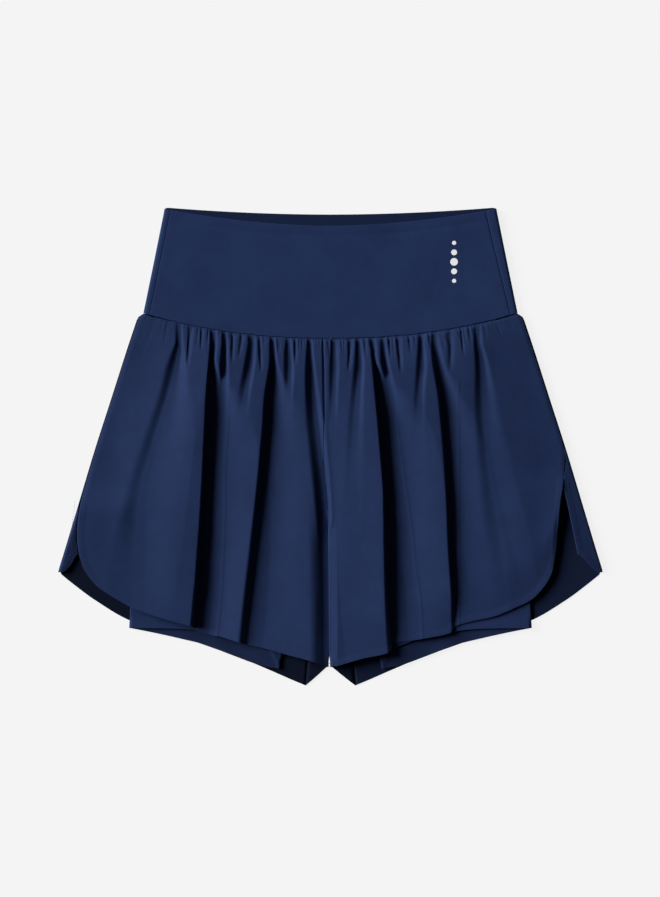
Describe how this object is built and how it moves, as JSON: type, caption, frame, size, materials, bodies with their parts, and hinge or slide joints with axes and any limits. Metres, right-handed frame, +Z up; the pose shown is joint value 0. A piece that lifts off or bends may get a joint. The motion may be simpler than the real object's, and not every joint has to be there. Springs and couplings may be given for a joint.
{
  "type": "pleated shorts",
  "caption": "Wide-waisted gathered sports shorts over fitted inner shorts, with petal side slits, laid flat on their back.",
  "frame": {"origin": "centre of the laid garment's outline, on the surface it lies on", "axes": "+Z up from the surface, +Y from the hems to the waist, +X to the wearer's left"},
  "size_m": [0.5004, 0.4392, 0.0149],
  "materials": {
    "band_knit": "smooth matt navy double knit",
    "shell_cloth": "light soft navy stretch woven, matt with a faint sheen",
    "liner_knit": "smooth navy jersey",
    "thread": "navy polyester thread",
    "mark_print": "white heat-transfer dots"
  },
  "bodies": {
    "root": {"waistband_front": "band_knit", "waistband_back": "band_knit", "outer_front_right": "shell_cloth", "outer_front_left": "shell_cloth", "outer_back_right": "shell_cloth", "outer_back_left": "shell_cloth", "inner_leg_right": "liner_knit", "inner_leg_left": "liner_knit"}
  },
  "joints": []
}
